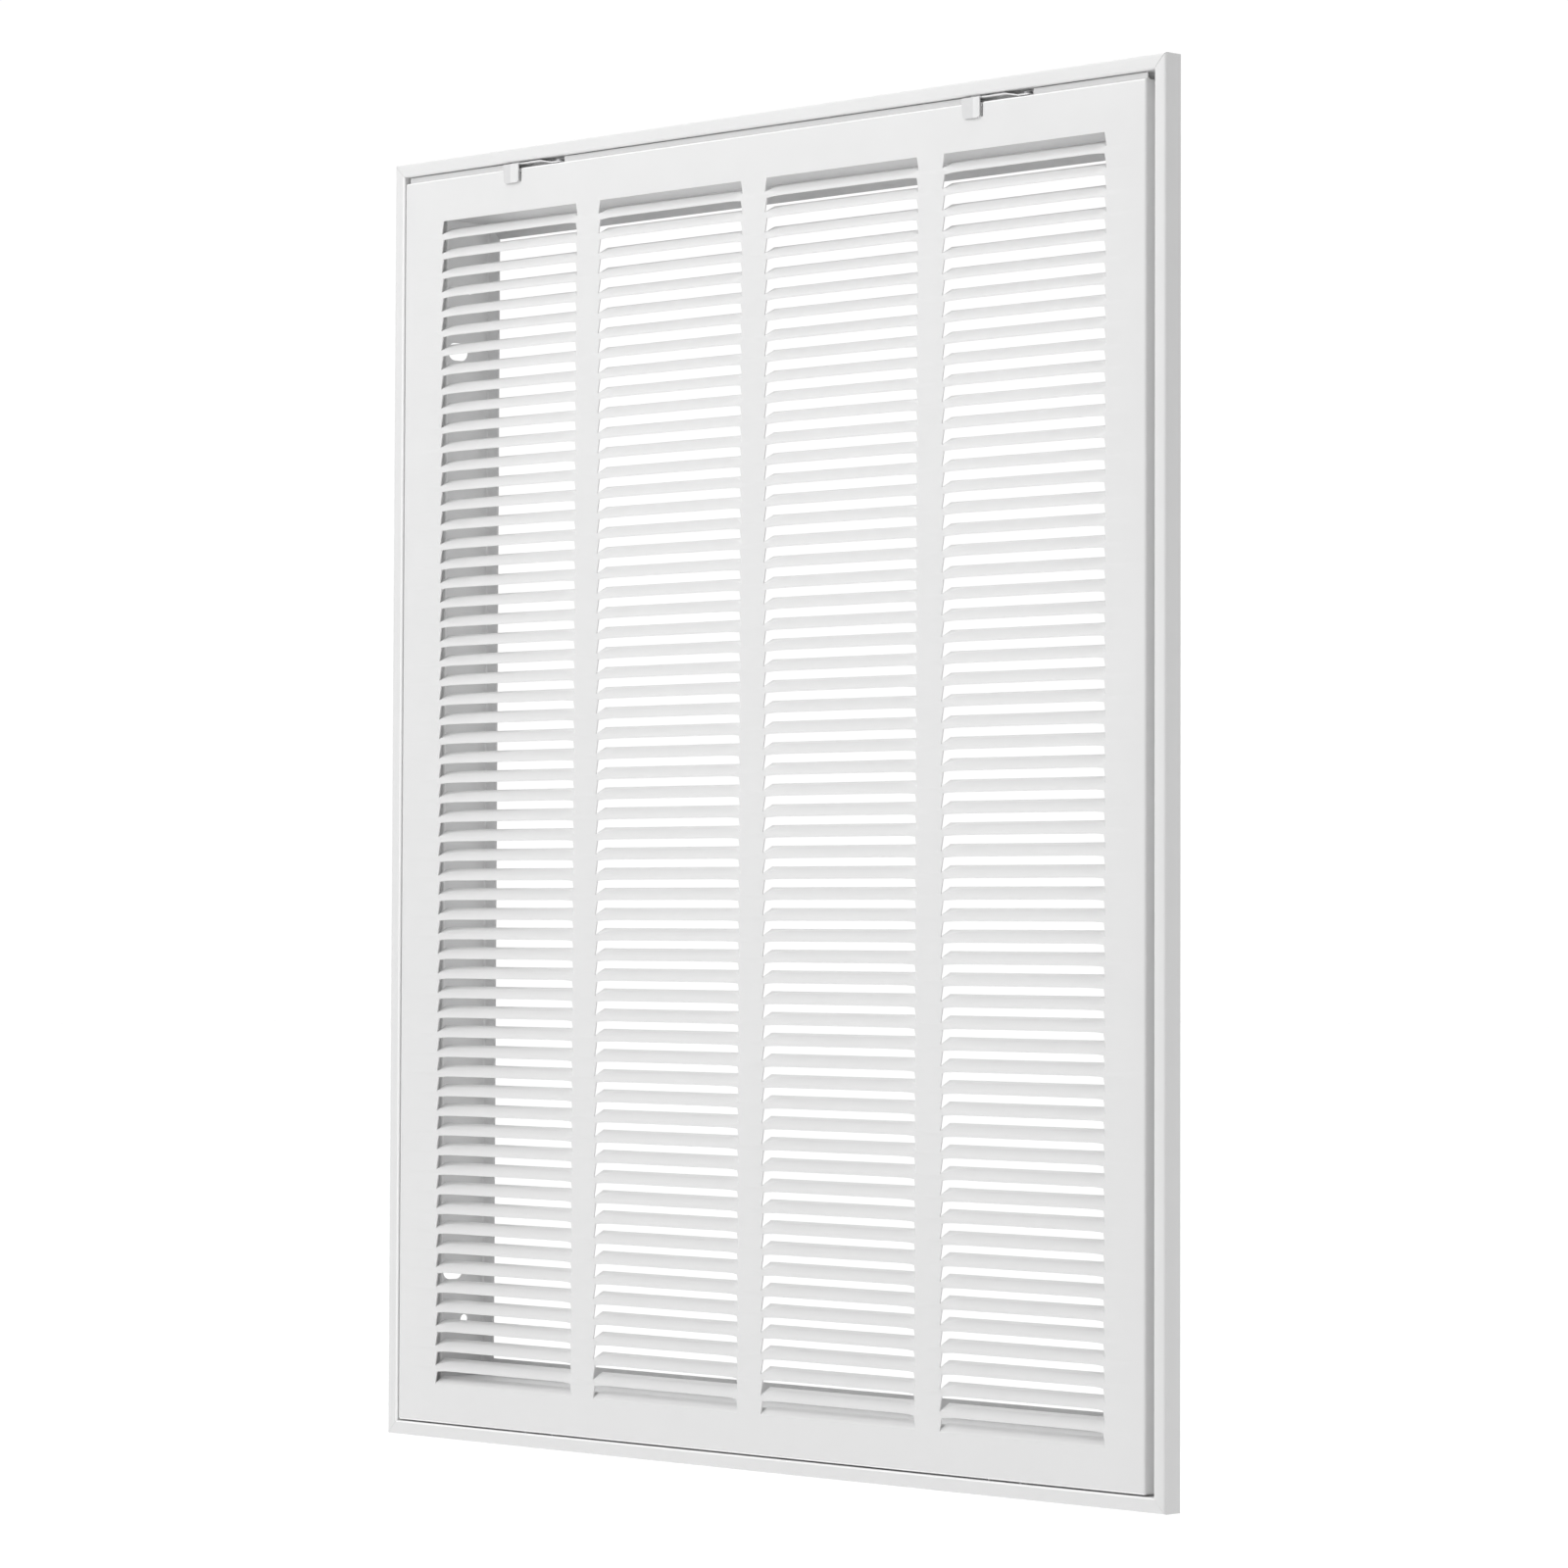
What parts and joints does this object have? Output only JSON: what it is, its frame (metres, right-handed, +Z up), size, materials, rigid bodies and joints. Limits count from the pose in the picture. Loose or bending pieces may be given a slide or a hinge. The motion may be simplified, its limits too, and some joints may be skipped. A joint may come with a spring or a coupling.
{
  "type": "return air filter grille",
  "caption": "Louvred return air grille: a bottom-hinged, latched steel door in a flanged frame whose collar stands in a duct opening and holds a flat filter.",
  "frame": {"origin": "centre of the opening in the plane of the wall, where the flange bears on it", "axes": "+X to the right as the front is seen, +Z up, +Y into the duct, so the louvred front faces -Y"},
  "size_m": [0.676, 0.0501, 0.828],
  "materials": {
    "white_paint": "semi-matte white powder coat on steel sheet",
    "zinc": "galvanised steel",
    "rivet": "plain rivet"
  },
  "bodies": {
    "frame": {"frame_top": "white_paint", "frame_bottom": "white_paint", "frame_left": "white_paint", "frame_right": "white_paint", "corner_key_top_left": "zinc", "corner_key_top_right": "zinc", "corner_key_bottom_left": "zinc", "corner_key_bottom_right": "zinc", "collar_bracket_top_left": "zinc", "collar_bracket_top_right": "zinc", "collar_bracket_bottom_left": "zinc", "collar_bracket_bottom_right": "zinc"},
    "door": {"door": "white_paint", "hinge_clip_left": "white_paint", "hinge_clip_right": "white_paint", "hinge_rivets": "rivet", "latch_rivets": "rivet"},
    "latch_left": {"latch_left": "white_paint"},
    "latch_right": {"latch_right": "white_paint"}
  },
  "joints": [
    {"name": "door_hinge", "type": "hinge", "parent": "frame", "child": "door", "pos_m": [0, -0.0118, -0.4053], "axis": [1, 0, 0], "range_deg": [0, 100]},
    {"name": "latch_left_press", "type": "hinge", "parent": "door", "child": "latch_left", "pos_m": [-0.182, -0.008, 0.4015], "axis": [0, -1, 0], "range_deg": [0, 2.4], "stiffness_Nm_per_rad": 3},
    {"name": "latch_right_press", "type": "hinge", "parent": "door", "child": "latch_right", "pos_m": [0.226, -0.008, 0.4015], "axis": [0, -1, 0], "range_deg": [0, 2.4], "stiffness_Nm_per_rad": 3}
  ]
}
